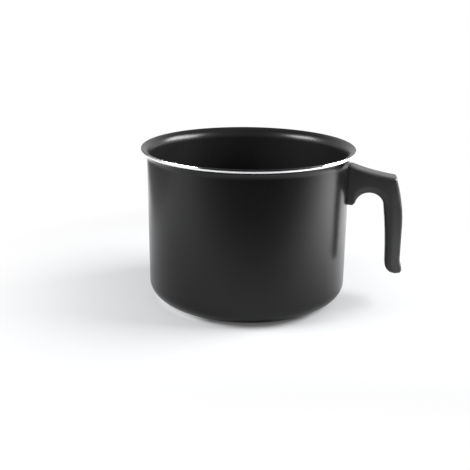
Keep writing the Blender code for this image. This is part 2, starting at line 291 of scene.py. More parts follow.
# %% The outside of the pot
GROOVES = (0.0150, 0.0260, 0.0370, 0.0480)
GROOVE_WIDTH = 0.0024
GROOVE_DEPTH = 0.0004
GROOVE_FACETS = 6
LIP_FACETS = 8
FLARE_FACETS = 22
CORNER_FACETS = 22


def outside_line():
    """The round lip, the bare trimmed edge, and the coated wall down to the flat foot."""
    edge_foot = POT_HEIGHT - EDGE_HEIGHT
    edge_radius = RIM_RADIUS - EDGE_SLANT
    line = lip_arc(90, 0, LIP_FACETS)[1:]
    line += [(RIM_RADIUS, POT_HEIGHT - LIP_HEIGHT), (edge_radius, edge_foot + EDGE_BREAK),
             (edge_radius - EDGE_BREAK, edge_foot)]
    under_flare = arc((RIM_RADIUS, FLARE_START), RIM_RADIUS - TOP_RADIUS, FLARE_RISE, 90, 180,
                      FLARE_FACETS)
    line += [point for point in under_flare if point[0] < edge_radius - 2 * EDGE_BREAK]
    line += [(wall_radius(height), height) for height in reversed(WALL_HEIGHTS)]
    return line + arc((FLAT_RADIUS, CORNER_RISE), CORNER_RUN, CORNER_RISE, 0, -90,
                      CORNER_FACETS)


def underside_line():
    """The turned base, from its rim to the middle, with its shallow grooves."""
    line = []
    for radius in reversed(GROOVES):
        line += arc((radius, 0), GROOVE_WIDTH / 2, GROOVE_DEPTH, 0, 180, GROOVE_FACETS)
    return line + [(0, 0)]


# %% Turn the pot
TURNED_SMOOTH_ANGLE = 32

pot = lathe("pot_shell", inside_line() + outside_line() + underside_line(), LATHE_STEPS)
smooth(pot, TURNED_SMOOTH_ANGLE)
report(pot)

# %% [markdown]
# ## The handle
#
# The real handle is pressed from phenolic powder in a two-part mould that opens sideways, so
# it is the same on both sides of its middle plane. It is flat sided on the arm, rolled
# where the fingers go, and rounder down the grip. A bevelled slab would have one roundness all
# over. So one half of its section is drawn as a line, from the finger side round to the back,
# and extruded station by station along the hook, each time with its points taken to the new
# section's places. A mirror makes the other half.

# %% Sizes of the handle
WIDTH = 0.0165
FOOT_TOP_BELOW_RIM = 0.0090
FOOT_END_BELOW_RIM = 0.0390
FOOT_DEPTH = 0.0049
FOOT_ROUND = 0.0058
BURIED = 0.0018
SEAT_GAP = 0.0003
ARM_END_BELOW_RIM = 0.0177
ARM_REACH = 0.0341
ARCH_SPAN = 0.0204
ARCH_RISE = 0.0096
ARCH_OFFSET = 0.0002
GRIP_REACH = 0.0398
GRIP_FULL_HEIGHT = 0.0580
GRIP_DEPTH = 0.0109
TIP_HEIGHT = 0.0223
TIP_RUN = 0.0078
TIP_RISE = 0.0075
HEEL_REACH = 0.0017
HEEL_RISE = 0.0100
EDGE_ROUND = 0.0013
ARM_ROUND = 0.0024
BACK_ROUND = 0.0019
TIP_ROUND = 0.0027

# %% Places on the handle
FOOT_TOP = POT_HEIGHT - FOOT_TOP_BELOW_RIM
FOOT_BOTTOM = POT_HEIGHT - FOOT_END_BELOW_RIM
SADDLE_RADIUS = min(wall_radius(FOOT_TOP), wall_radius(FOOT_BOTTOM)) + SEAT_GAP
FOOT_BACK = math.sqrt(SADDLE_RADIUS ** 2 - (WIDTH / 2) ** 2)
FOOT_BURIED = FOOT_BACK - BURIED
ARCH_MIDDLE = FOOT_BACK + FOOT_DEPTH + ARCH_SPAN / 2 + ARCH_OFFSET
ELBOW = FOOT_BACK + ARM_REACH
ARM_END = POT_HEIGHT - ARM_END_BELOW_RIM
GRIP_BACK = FOOT_BACK + GRIP_REACH
print("the handle's foot and grip reach", in_mm([FOOT_BACK, GRIP_BACK]), "mm out")


# %% Lines and curves
def between(low, high, share):
    return low + (high - low) * share


def ease(share):
    """A smooth step from 0 to 1."""
    share = min(max(share, 0), 1)
    return share * share * (3 - 2 * share)


def curve(first, control, last, facets):
    """Points along a quadratic curve, both ends included."""
    points = []
    for k in range(facets + 1):
        s = k / facets
        weights = ((1 - s) ** 2, 2 * s * (1 - s), s ** 2)
        points.append(tuple(sum(w * p[i] for w, p in zip(weights, (first, control, last)))
                            for i in (0, 1)))
    return points


def round_off(radius, distance):
    """How much a rounded end takes away this far from it."""
    rest = max(radius - distance, 0)
    return radius - math.sqrt(radius ** 2 - rest ** 2)


# %% The hook's outline, seen from the side
ARM_SWEEP_SHARES = (0.37, 0.62)
ELBOW_ANGLE = 17
FOOT_ROWS = 10
EDGE_FACETS = 6
ARM_FACETS = 28
ELBOW_FACETS = 8
GRIP_BACK_FACETS = 20


def back_of_arm():
    """Up the wall, round the foot's top, out along the arm and round the elbow."""
    corner = (FOOT_BURIED + EDGE_ROUND, FOOT_TOP - round_off(FOOT_ROUND, EDGE_ROUND) - EDGE_ROUND)
    points = [(FOOT_BURIED, between(FOOT_BOTTOM + TIP_ROUND, corner[1], k / FOOT_ROWS))
              for k in range(FOOT_ROWS)]
    points += arc(corner, EDGE_ROUND, EDGE_ROUND, 180, 90, EDGE_FACETS)
    start_of_arm = (points[-1][0], FOOT_TOP)
    end = (ELBOW - BACK_ROUND, ARM_END)
    control = tuple(between(start_of_arm[i], end[i], ARM_SWEEP_SHARES[i]) for i in (0, 1))
    points += [(x, z - round_off(FOOT_ROUND, x - FOOT_BURIED))
               for x, z in curve(start_of_arm, control, end, ARM_FACETS)[1:]]
    return points + arc((end[0], end[1] - BACK_ROUND), BACK_ROUND, BACK_ROUND, 90, ELBOW_ANGLE,
                        ELBOW_FACETS)[1:]


def back_of_grip(top):
    """From the elbow down to where the grip's back is upright."""
    reach = GRIP_BACK - top[0]
    control = (GRIP_BACK, top[1] - reach / math.tan(math.radians(ELBOW_ANGLE)))
    return curve(top, control, (GRIP_BACK, GRIP_FULL_HEIGHT), GRIP_BACK_FACETS)


def arch_point(angle):
    """Point of the finger arch at an angle above +X, seen from the arch's middle."""
    distance = 1 / math.hypot(math.cos(angle) / (ARCH_SPAN / 2), math.sin(angle) / ARCH_RISE)
    return (ARCH_MIDDLE + distance * math.cos(angle), FOOT_BOTTOM + distance * math.sin(angle))


def reach_at(line, height):
    """How far out a falling outline is at a height."""
    for upper, lower in zip(line, line[1:]):
        if lower[1] <= height <= upper[1]:
            return between(upper[0], lower[0], (upper[1] - height) / (upper[1] - lower[1]))
    return line[-1][0]


# %% Stations on the foot and the arm
FOOT_RING_SHARES = (0, 0.06, 0.15, 0.3, 0.5, 0.75)
FOOT_LIFT_SHARE = 0.1
ROLL_FADE_ANGLE = 65
NARROWING_ANGLES = (130, 180)


def foot_stations():
    """The foot's rounded lower end, whose buried side is lifted a little."""
    stations = []
    for share in FOOT_RING_SHARES:
        height = FOOT_BOTTOM + share * TIP_ROUND
        inset = round_off(TIP_ROUND, share * TIP_ROUND)
        front = (FOOT_BACK + FOOT_DEPTH - inset, height)
        lift = FOOT_LIFT_SHARE * TIP_ROUND * (1 - share) ** 2
        stations.append((front, (FOOT_BURIED, height + lift), 0, 0, EDGE_ROUND, inset))
    return stations


def arm_stations(grip_line):
    """Sections that fan round the finger arch, from the foot to the top of the grip."""
    first, last = NARROWING_ANGLES
    stations = []
    for back in back_of_arm() + grip_line[1:]:
        if back[1] < FOOT_BOTTOM:
            break
        angle = math.atan2(back[1] - FOOT_BOTTOM, back[0] - ARCH_MIDDLE)
        turned = 180 - math.degrees(angle)
        rounding = between(EDGE_ROUND, ARM_ROUND, ease((back[0] - FOOT_BACK) / ARM_ROUND))
        stations.append((arch_point(angle), back, ease(turned / ROLL_FADE_ANGLE),
                         ease((turned - first) / (last - first)), rounding, 0))
    return stations


# %% Stations on the grip
GRIP_LEAN_SHARES = (0.84, 0.46)
GRIP_FACETS = 22
TIP_ROWS = 14
TIP_CROWDING = 1.6


def grip_front():
    """The finger side of the grip, down to its tip, where the rows lie closer and closer."""
    top = (ARCH_MIDDLE + ARCH_SPAN / 2, FOOT_BOTTOM)
    low = (GRIP_BACK - GRIP_DEPTH, TIP_HEIGHT + TIP_RISE)
    control = tuple(between(top[i], low[i], GRIP_LEAN_SHARES[i]) for i in (0, 1))
    front = curve(top, control, low, GRIP_FACETS)
    for k in range(1, TIP_ROWS + 1):
        height = TIP_HEIGHT + (1 - k / TIP_ROWS) ** TIP_CROWDING * TIP_RISE
        fall = (TIP_HEIGHT + TIP_RISE - height) / TIP_RISE
        front.append((low[0] + TIP_RUN * (1 - math.sqrt(max(1 - fall ** 2, 0))), height))
    return front


def grip_stations(grip_line):
    """Level sections down the grip, which step out to the heel near its end."""
    stations = []
    for front in grip_front():
        height = front[1]
        inset = round_off(TIP_ROUND, height - TIP_HEIGHT)
        heel = ease((TIP_HEIGHT + HEEL_RISE - height) / (HEEL_RISE - TIP_ROUND))
        back = (reach_at(grip_line, height) + HEEL_REACH * heel - inset, height)
        stations.append((front, back, 1, 1, BACK_ROUND, inset))
    return stations


# %% Half a section of the handle
CREST_WIDTH = 0.0138
CREST_ROUND = 0.0011
ROLL_DEPTH = 0.0054
BACK_WIDTH = 0.0138
CROWN = 0.0002
LEAST_ROUND_SHARE = 0.2
CREST_CHAMFER_SHARE = 0.3
ROLL_SPAN_SHARE = 0.40
ROLL_BEND_SHARES = (0.42, 0.68)
ROLL_FACETS = 6
BACK_FACETS = 5


def half_section(front, back, roll, back_share, rounding, inset):
    """Points from the middle of the finger side, round one flank, to the middle of the back.

    roll and back_share, from 0 to 1, say how far the finger side is rolled and the back is
    narrowed. The inset makes the section narrower and its roundings smaller.
    """
    line = Vector((back[0] - front[0], 0, back[1] - front[1]))
    span = line.length
    line.normalize()
    half = WIDTH / 2 - inset
    crest = between(half, CREST_WIDTH / 2 - inset, roll)
    back_half = between(half, BACK_WIDTH / 2 - inset, back_share)
    crest_round = max(CREST_ROUND - inset, LEAST_ROUND_SHARE * CREST_ROUND)
    rounding = max(rounding - inset, LEAST_ROUND_SHARE * rounding)
    chamfer = CREST_CHAMFER_SHARE * crest_round
    deep = between(2 * crest_round, min(ROLL_DEPTH, ROLL_SPAN_SHARE * span), roll)
    bend = (between(crest_round, deep, ROLL_BEND_SHARES[0]),
            between(crest, half, ROLL_BEND_SHARES[1]))
    side = [(0, 0), (0, crest / 2), (0, crest - crest_round), (chamfer, crest - chamfer)]
    side += curve((crest_round, crest), bend, (deep, half), ROLL_FACETS)
    side.append((between(deep, span - rounding, 0.5), between(half, back_half, 0.5)))
    round_middle = (back_half - rounding, span - CROWN - rounding)
    side += [(u, y) for y, u in arc(round_middle, rounding, rounding, 0, 90, BACK_FACETS)]
    side += [(span - CROWN / 4, side[-1][1] / 2), (span, 0)]
    origin = Vector((front[0], 0, front[1]))
    return [origin + line * u - Vector((0, y, 0)) for u, y in side]


grip_line = back_of_grip(back_of_arm()[-1])
stations = foot_stations() + arm_stations(grip_line) + grip_stations(grip_line)
rows = [half_section(*station) for station in stations]
print(len(rows), "stations of", len(rows[0]), "points")


# %% Extrude the half section along the hook
def extrude_to(piece, old, new):
    """Extrude the selected line, and take each of its points from its old to its new place."""
    draw_out((0, 0, 0))
    mesh = bmesh.from_edit_mesh(piece.data)
    mesh.verts.index_update()
    fresh = [vertex for vertex in mesh.verts if vertex.select]
    order = [min(fresh, key=lambda v: (v.co - here).length_squared).index for here in old]
    for index, here, there in zip(order, old, new):
        bpy.ops.mesh.select_all(action="DESELECT")
        mesh = bmesh.from_edit_mesh(piece.data)
        mesh.verts.ensure_lookup_table()
        mesh.verts[index].select_set(True)
        bpy.ops.transform.translate(value=there - here)
    mesh = bmesh.from_edit_mesh(piece.data)
    mesh.verts.ensure_lookup_table()
    for index in order:
        mesh.verts[index].select_set(True)
    mesh.select_flush_mode()


hook = put_point("hook", rows[0][0])
for here, there in zip(rows[0], rows[0][1:]):
    draw_out(there - here)
bpy.ops.mesh.select_all(action="SELECT")
for old, new in zip(rows, rows[1:]):
    extrude_to(hook, old, new)
bpy.ops.object.mode_set(mode="OBJECT")
report(hook)

# %% Mirror the half, close its ends and let the surface flow
mirror = hook.modifiers.new("other half", "MIRROR")
mirror.use_axis = (False, True, False)
mirror.merge_threshold = MERGE_DISTANCE
apply_modifiers(hook)
bpy.ops.object.mode_set(mode="EDIT")
bpy.ops.mesh.select_all(action="SELECT")
bpy.ops.mesh.remove_doubles(threshold=MERGE_DISTANCE)
cap_ends()
close_up()
flow = hook.modifiers.new("flow", "SUBSURF")
flow.levels = 1
flow.render_levels = 1
apply_modifiers(hook)
report(hook)

# %% [markdown]
# ## The saddle and the screw hole
#
# The foot of the real handle is hollowed to the curve of the wall, and a stepped hole runs
# through the arm for the stud, the screw and its head. The curve could be pushed into the
# mesh, but a clean edge comes from cutting. Two turned cutters, the wall with a hair's breadth
# to spare and the stepped hole, are taken away with a Boolean.

# %% Sizes of the fixing
SCREW_BELOW_RIM = 0.0236
SCREW_RADIUS = 0.0020
SCREW_LENGTH = 0.0250
SCREW_TIP_GAP = 0.0014
HEAD_RADIUS = 0.0035
HEAD_HEIGHT = 0.0028
HEAD_DOME = 0.0012
WASHER_RADIUS = 0.0034
WASHER_THICKNESS = 0.0010
STUD_RADIUS = 0.0040
STUD_LENGTH = 0.0070
STUD_FLANGE_RADIUS = 0.0048
STUD_FLANGE_THICKNESS = 0.0014
HOLE_CLEARANCE = 0.0004
TOUCH_GAP = 0.0001
OVERRUN = 0.0040
SMALL_STEPS = 64

# %% Places along the screw
SCREW_HEIGHT = POT_HEIGHT - SCREW_BELOW_RIM
SEAT_RADIUS = wall_radius(SCREW_HEIGHT) + SEAT_GAP
SCREW_TIP = SEAT_RADIUS + SCREW_TIP_GAP
HEAD_SEAT = SCREW_TIP + SCREW_LENGTH
WASHER_SEAT = HEAD_SEAT - SEAT_GAP - WASHER_THICKNESS
STUD_END = SEAT_RADIUS + STUD_LENGTH
STUD_FLANGE_END = SEAT_RADIUS + STUD_FLANGE_THICKNESS
UNDER_WALL = FOOT_BACK - OVERRUN
print("the screw's tip and head lie", in_mm([SCREW_TIP, HEAD_SEAT + HEAD_HEIGHT]), "mm out")


# %% Cut the saddle and the stepped hole
HANDLE_SMOOTH_ANGLE = 38


def lay_down(piece):
    """Turn a piece that was made along Z onto the screw's line, which runs along +X."""
    piece.rotation_euler = (0, math.radians(90), 0)
    piece.location = (0, 0, SCREW_HEIGHT)
    select_only(piece)
    apply_place()


def cut_away(piece, cutter):
    boolean = piece.modifiers.new("cut", "BOOLEAN")
    boolean.operation = "DIFFERENCE"
    boolean.solver = "EXACT"
    boolean.object = cutter
    apply_modifiers(piece)
    bpy.data.objects.remove(cutter, do_unlink=True)


def wall_cutter():
    low, high = FOOT_BOTTOM - OVERRUN, FOOT_TOP + OVERRUN
    line = [(0, high), (wall_radius(high) + TOUCH_GAP, high),
            (wall_radius(low) + TOUCH_GAP, low), (0, low)]
    return lathe("wall_cutter", line, LATHE_STEPS)


def hole_cutter():
    """Bores for the screw's head, its shank, the stud and the stud's flange, in that order."""
    outside = GRIP_BACK + OVERRUN
    shank, head = SCREW_RADIUS + HOLE_CLEARANCE, HEAD_RADIUS + HOLE_CLEARANCE
    stud, flange = STUD_RADIUS + HOLE_CLEARANCE, STUD_FLANGE_RADIUS + HOLE_CLEARANCE
    seat = WASHER_SEAT - SEAT_GAP
    line = [(0, outside), (head, outside), (head, seat), (shank, seat),
            (shank, STUD_END + SEAT_GAP), (stud, STUD_END + SEAT_GAP),
            (stud, STUD_FLANGE_END + SEAT_GAP), (flange, STUD_FLANGE_END + SEAT_GAP),
            (flange, UNDER_WALL), (0, UNDER_WALL)]
    cutter = lathe("hole_cutter", line, SMALL_STEPS)
    lay_down(cutter)
    return cutter


cut_away(hook, wall_cutter())
cut_away(hook, hole_cutter())
smooth(hook, HANDLE_SMOOTH_ANGLE)
report(hook)

# %% [markdown]
# ## Stud, screw and washer
#
# These are turned and stamped parts, hidden but for the screw's head at the bottom of its
# hole. They could be cylinders joined with Booleans, but a turned part is quicker to spin from
# its section, as the pot is. The cross recess is cut with two tapered bars, and the thread is
# a small ridge that a Screw modifier winds along the shank.

# %% Stud
STUD_CHAMFER = 0.0005
STUD_FACETS = 5


def make_stud():
    bore = SCREW_RADIUS + SEAT_GAP
    bore_floor = SCREW_TIP - SEAT_GAP
    fillet_middle = (STUD_RADIUS + STUD_CHAMFER, STUD_FLANGE_END + STUD_CHAMFER)
    line = [(0, bore_floor), (bore, bore_floor), (bore, STUD_END - STUD_CHAMFER / 2),
            (bore + STUD_CHAMFER / 2, STUD_END), (STUD_RADIUS - STUD_CHAMFER, STUD_END),
            (STUD_RADIUS, STUD_END - STUD_CHAMFER), (STUD_RADIUS, fillet_middle[1])]
    line += arc(fillet_middle, STUD_CHAMFER, STUD_CHAMFER, 180, 270, STUD_FACETS)[1:]
    line += [(STUD_FLANGE_RADIUS, STUD_FLANGE_END), (STUD_FLANGE_RADIUS, UNDER_WALL),
             (0, UNDER_WALL)]
    stud = lathe("stud", line, SMALL_STEPS)
    lay_down(stud)
    cut_away(stud, wall_cutter())
    smooth(stud, TURNED_SMOOTH_ANGLE)
    return stud


stud = make_stud()
report(stud)

# %% Screw
THREAD_DEPTH = 0.00040
CORE_RADIUS = SCREW_RADIUS - THREAD_DEPTH
PLAIN_SHANK = 0.0060
RUN_OUT = 0.0006
TIP_CHAMFER = 0.0005
HEAD_BREAK = 0.0002
HEAD_FACETS = 10
RECESS = 0.0038
RECESS_WIDTH = 0.0009
RECESS_DEPTH = 0.0015
RECESS_TAPER_SHARES = (0.45, 0.6, 1)
FACING_DOWN = -0.5


def recess_bar(angle):
    """A bar across the head that tapers towards its tip, as the driver's blade does."""
    bar = start("recess_bar", bpy.ops.mesh.primitive_cube_add, size=1)
    bpy.ops.transform.resize(value=(RECESS, RECESS_WIDTH, 2 * RECESS_DEPTH))
    bpy.ops.transform.translate(value=(0, 0, HEAD_SEAT + HEAD_HEIGHT))
    pick_faces(bar, lambda face: face.normal.z < FACING_DOWN)
    bpy.ops.transform.resize(value=RECESS_TAPER_SHARES)
    bpy.ops.object.mode_set(mode="OBJECT")
    bar.rotation_euler = (0, 0, angle)
    apply_place()
    return bar


def make_screw():
    """The pan head, the plain shank and the core that carries the thread."""
    line = arc((0, HEAD_SEAT + HEAD_HEIGHT - HEAD_DOME), HEAD_RADIUS, HEAD_DOME, 90, 0,
               HEAD_FACETS)
    line += [(HEAD_RADIUS, HEAD_SEAT + HEAD_BREAK), (HEAD_RADIUS - HEAD_BREAK, HEAD_SEAT),
             (SCREW_RADIUS, HEAD_SEAT), (SCREW_RADIUS, HEAD_SEAT - PLAIN_SHANK),
             (CORE_RADIUS, HEAD_SEAT - PLAIN_SHANK - RUN_OUT),
             (CORE_RADIUS, SCREW_TIP + TIP_CHAMFER), (CORE_RADIUS - TIP_CHAMFER, SCREW_TIP),
             (0, SCREW_TIP)]
    screw = lathe("screw", line, SMALL_STEPS)
    for angle in (0, math.pi / 2):
        cut_away(screw, recess_bar(angle))
    return screw


screw = make_screw()
report(screw)

# %% Thread
PITCH = 0.0007
THREAD_FROM_TIP = 0.0006
THREAD_SINK = 0.00005
CREST_SHARES = (0.44, 0.56)
THREAD_FOOT_SHARE = 0.98
THREAD_STEPS = 24


def make_thread():
    """A ridge one turn high, wound up the core, with its foot sunk a little into it."""
    foot, crest = CORE_RADIUS - THREAD_SINK, SCREW_RADIUS
    low = SCREW_TIP + THREAD_FROM_TIP
    corners = [(foot, low)] + [(crest, low + share * PITCH) for share in CREST_SHARES]
    corners.append((foot, low + THREAD_FOOT_SHARE * PITCH))
    thread = draw_line("thread", corners)
    bpy.ops.mesh.select_all(action="SELECT")
    bpy.ops.mesh.edge_face_add()
    bpy.ops.mesh.delete(type="ONLY_FACE")
    bpy.ops.object.mode_set(mode="OBJECT")
    wind = thread.modifiers.new("wind", "SCREW")
    wind.angle = math.tau
    wind.screw_offset = PITCH
    wind.iterations = int((HEAD_SEAT - PLAIN_SHANK - RUN_OUT - low) / PITCH)
    wind.steps = THREAD_STEPS
    wind.render_steps = THREAD_STEPS
    print(wind.iterations, "turns of thread")
    apply_modifiers(thread)
    bpy.ops.object.mode_set(mode="EDIT")
    cap_ends()
    close_up()
    return thread


thread = make_thread()
select_only(screw)
thread.select_set(True)
bpy.ops.object.join()
lay_down(screw)
smooth(screw, TURNED_SMOOTH_ANGLE)
report(screw)

# %% Washer
WASHER_EDGE = 0.00015
WASHER_SPLIT = math.radians(16)
WASHER_STEPS = 72


def make_washer():
    """A square section spun almost all the way round, so that its split stays open."""
    inner = SCREW_RADIUS + SEAT_GAP
    middle = (inner + WASHER_RADIUS) / 2
    washer = start("washer", bpy.ops.mesh.primitive_plane_add, size=1,
                   rotation=(math.radians(90), 0, 0))
    bpy.ops.transform.resize(value=(WASHER_RADIUS - inner, 1, WASHER_THICKNESS))
    bpy.ops.transform.translate(value=(middle, 0, WASHER_SEAT + WASHER_THICKNESS / 2))
    bpy.ops.mesh.bevel(affect="VERTICES", offset=WASHER_EDGE, segments=3)
    bpy.ops.mesh.select_all(action="SELECT")
    bpy.ops.mesh.spin(steps=WASHER_STEPS, angle=math.tau - WASHER_SPLIT, center=(0, 0, 0),
                      axis=(0, 0, 1))
    close_up()
    washer.rotation_euler = (0, 0, WASHER_SPLIT / 2)
    apply_place()
    lay_down(washer)
    smooth(washer, TURNED_SMOOTH_ANGLE)
    return washer


washer = make_washer()
report(washer)

# %% [markdown]
# ## Surfaces
#
# The real pot has a thin satin coat, a little duller inside. The rim is trimmed and the base
# turned after coating, so both show bare metal. The handle is dull from its mould, and the
# fixing is plated or plain steel and bare aluminium. Such finishes could be painted as images,
# but an image needs an unwrapped mesh and turns coarse up close. Here each is one Principled
# shader whose colour, roughness and relief vary a little by noise. The noise reads Object
# coordinates, so that it stays on the piece. On turned rings it reads only how far a point is
# from the axis, and on the trimmed edge only its height, so its grain runs round the pot.

# %% Helpers for nodes
def fill(tree, node, inputs):
    """Give each named input of a node a value, or link another node's output to it."""
    for name, value in inputs.items():
        if isinstance(value, bpy.types.NodeSocket):
            tree.links.new(value, node.inputs[name])
        else:
            node.inputs[name].default_value = value


def new_node(tree, kind, inputs, **options):
    """Add a node, set its options and fill its inputs."""
    node = tree.nodes.new("ShaderNode" + kind)
    for name, value in options.items():
        setattr(node, name, value)
    fill(tree, node, inputs)
    return node


def blend(tree, share, one, other, kind="FLOAT"):
    """one where the share is 0, other where it is 1."""
    mix = new_node(tree, "Mix", {"Factor": share, "A": one, "B": other}, data_type=kind)
    return mix.outputs["Result"]


def ramp(tree, value, first, last, low, high, kind="SMOOTHSTEP"):
    """low up to the first value, high from the last one on, and a step between."""
    step = new_node(tree, "MapRange", {"Value": value, "From Min": first, "From Max": last,
                                       "To Min": low, "To Max": high}, interpolation_type=kind)
    return step.outputs["Result"]


# %% A helper for finishes
CLOUD_SCALE = 45
CLOUD_DETAIL = 4
GRAIN_DETAIL = 3
GRAIN_RANGE = (0.3, 0.7)


def grain_place(tree, place, along):
    """The whole place for an even grain, or only its distance from the axis, or its height."""
    if along == "all":
        return place
    split = new_node(tree, "SeparateXYZ", {0: place})
    if along == "height":
        return new_node(tree, "CombineXYZ", {"Z": split.outputs["Z"]}).outputs[0]
    flat = new_node(tree, "CombineXYZ", {"X": split.outputs["X"], "Y": split.outputs["Y"]})
    radius = new_node(tree, "VectorMath", {0: flat.outputs[0]}, operation="LENGTH")
    return new_node(tree, "CombineXYZ", {"X": radius.outputs["Value"]}).outputs[0]


def finish(name, dark, light, roughness, relief, metallic=0.0, ior=1.5, along="all"):
    """dark and light are colours, roughness is (low, high), relief is (grain, height) in metres.

    along is "all" for an even grain, "radius" for turned rings and "height" for a turned edge.
    """
    material = bpy.data.materials.new(name)
    material.use_nodes = True
    tree = material.node_tree
    place = new_node(tree, "TexCoord", {}).outputs["Object"]
    cloud = new_node(tree, "TexNoise", {"Vector": place, "Scale": CLOUD_SCALE,
                                        "Detail": CLOUD_DETAIL})
    grain = new_node(tree, "TexNoise", {"Vector": grain_place(tree, place, along),
                                        "Scale": 1 / relief[0], "Detail": GRAIN_DETAIL})
    bump = new_node(tree, "Bump", {"Strength": 1.0, "Distance": relief[1],
                                   "Height": grain.outputs["Fac"]})
    fill(tree, tree.nodes["Principled BSDF"], {
        "Metallic": metallic, "IOR": ior, "Normal": bump.outputs["Normal"],
        "Base Color": blend(tree, cloud.outputs["Fac"], (*dark, 1), (*light, 1), "RGBA"),
        "Roughness": ramp(tree, grain.outputs["Fac"], *GRAIN_RANGE, *roughness, "LINEAR")})
    print(name, "has roughness", roughness, "and a grain of", in_mm(relief[:1]), "mm")
    return material


# %% The finishes
outer_coat = finish("outer_coat", (0.0038, 0.0038, 0.0041), (0.0056, 0.0056, 0.0058),
                    (0.23, 0.25), (0.0006, 0.0000004), ior=1.345)
inner_coat = finish("inner_coat", (0.0065, 0.0065, 0.0068), (0.0095, 0.0095, 0.0098),
                    (0.26, 0.31), (0.0004, 0.0000015), ior=1.34)
bare_lip = finish("bare_lip", (0.78, 0.785, 0.79), (0.84, 0.845, 0.85),
                  (0.16, 0.22), (0.0004, 0.0000010), metallic=1.0)
bare_edge = finish("bare_edge", (0.93, 0.935, 0.94), (0.97, 0.97, 0.97),
                   (0.44, 0.54), (0.00012, 0.000003), metallic=1.0, along="height")
turned_base = finish("turned_base", (0.78, 0.785, 0.79), (0.86, 0.865, 0.87),
                     (0.26, 0.38), (0.00022, 0.000004), metallic=1.0, along="radius")
phenolic = finish("phenolic", (0.022, 0.022, 0.0225), (0.027, 0.027, 0.0275),
                  (0.36, 0.44), (0.0005, 0.000002), ior=1.47)
zinc_steel = finish("zinc_steel", (0.60, 0.61, 0.63), (0.70, 0.71, 0.72),
                    (0.22, 0.34), (0.0004, 0.000003), metallic=1.0)
spring_steel = finish("spring_steel", (0.34, 0.34, 0.35), (0.42, 0.42, 0.43),
                      (0.30, 0.42), (0.0004, 0.000004), metallic=1.0)
stud_metal = finish("stud_metal", (0.72, 0.73, 0.74), (0.80, 0.80, 0.81),
                    (0.28, 0.40), (0.0003, 0.000004), metallic=1.0)

# %% [markdown]
# ## Where each finish lies on the pot
#
# One shell has several finishes, so its faces share them out. They could be picked with the
# mouse, or parted into separate meshes, but the places are simple to say: inside, trimmed
# edge, lip, base. The edge of the coat isn't at the same place all round. From inside, it
# laps right over the lip in front and behind, and only part of the way over it at the sides.
# So the slope at which it ends depends on the direction from the axis.

# %% Faces of the rim, the base and the inside
FACING_UP = 0.7
BASE_MARGIN = 1.01


def on_edge(face):
    middle = face.calc_center_median()
    height = POT_HEIGHT - middle.z
    return math.hypot(middle.x, middle.y) > LIP_RADIUS and LIP_HEIGHT < height < EDGE_HEIGHT


def on_lip(face):
    middle = face.calc_center_median()
    return math.hypot(middle.x, middle.y) > LIP_RADIUS and middle.z > POT_HEIGHT - LIP_HEIGHT


def on_base(face):
    middle = face.calc_center_median()
    return (middle.z < BASE_MARGIN * GROOVE_DEPTH and face.normal.z < FACING_DOWN
            and math.hypot(middle.x, middle.y) < FLAT_RADIUS)


def on_inside(face):
    middle = face.calc_center_median()
    outwards = Vector((middle.x, middle.y, 0))
    return middle.z > FLOOR / 2 and (face.normal.dot(outwards) < 0 or (
        face.normal.z > FACING_UP and outwards.length < LIP_RADIUS))


# %% Faces of the lip under the coat's lap
LAP_TURN = math.radians(14)
LAP_ALL, LAP_LEAST, LAP_SIDE = -1, 0.5, 0.3
LEAST_FROM, LEAST_STEP = 0.47, 0.08
SIDE_FROM, SIDE_STEP = 0.93, 0.05


def on_crest(face):
    """Faces that look up more than the lap's limit, which is lowest in front and behind."""
    middle = face.calc_center_median()
    sideways = abs(math.cos(math.atan2(middle.y, middle.x) - LAP_TURN))
    limit = between(LAP_ALL, LAP_LEAST, ease((sideways - LEAST_FROM) / LEAST_STEP))
    limit = between(limit, LAP_SIDE, ease((sideways - SIDE_FROM) / SIDE_STEP))
    return on_lip(face) and face.normal.z > limit


# %% Put the finishes on
def coat(piece, *materials):
    for material in materials:
        piece.data.materials.append(material)
    select_only(piece)


coat(pot, outer_coat, inner_coat, bare_edge, turned_base, bare_lip)
bpy.ops.object.mode_set(mode="EDIT")
for slot, wanted in ((1, on_inside), (2, on_edge), (3, on_base), (4, on_lip), (1, on_crest)):
    count = pick_faces(pot, wanted)
    pot.active_material_index = slot
    bpy.ops.object.material_slot_assign()
    print(pot.data.materials[slot].name, "on", count, "faces")
bpy.ops.object.mode_set(mode="OBJECT")
coat(hook, phenolic)
coat(stud, stud_metal)
coat(screw, zinc_steel)
coat(washer, spring_steel)

# %% [markdown]
# ## Floor and light
#
# The set is white paper under and behind the pot, with a softbox on each side. Lamps over a
# plain floor would be simpler, but a dark glossy coat shows what stands around it more than
# the light that falls on it, and paper that is right for the eye is wrong in the coat. A
# photographer holds up cards until both are right. Here the Light Path node does it: it tells
# camera rays, which see the paper itself, from glossy rays, which the coat mirrors. So the
# paper can fade to white for the camera, and its brightness in the coat is a painted
# reflection. The paper also has painted light over the pot's shadow for the camera, and
# painted shade far in front and behind on the left.

# %% Floor
FLOOR_SIZE = 30
backwards = Matrix.Rotation(HANDLE_TURN, 3, "Z") @ Vector((0, 1, 0))
rightwards = Matrix.Rotation(HANDLE_TURN, 3, "Z") @ Vector((1, 0, 0))
bpy.ops.object.select_all(action="DESELECT")
bpy.ops.mesh.primitive_plane_add(size=FLOOR_SIZE)
floor = bpy.context.object
floor.name = "floor"
print("floor", in_mm(floor.dimensions))


# %% Distances on the paper
def together(tree, operation, *values):
    """One number made of several, with a Math node between each and the next."""
    result = values[0]
    for value in values[1:]:
        result = new_node(tree, "Math", {0: result, 1: value}, operation=operation).outputs[0]
    return result


def distance_along(tree, place, direction):
    """How far a place lies in one direction."""
    dot = new_node(tree, "VectorMath", {0: place, 1: direction}, operation="DOT_PRODUCT")
    return dot.outputs["Value"]


def turned_left(direction, degrees):
    return Matrix.Rotation(math.radians(degrees), 3, "Z") @ direction


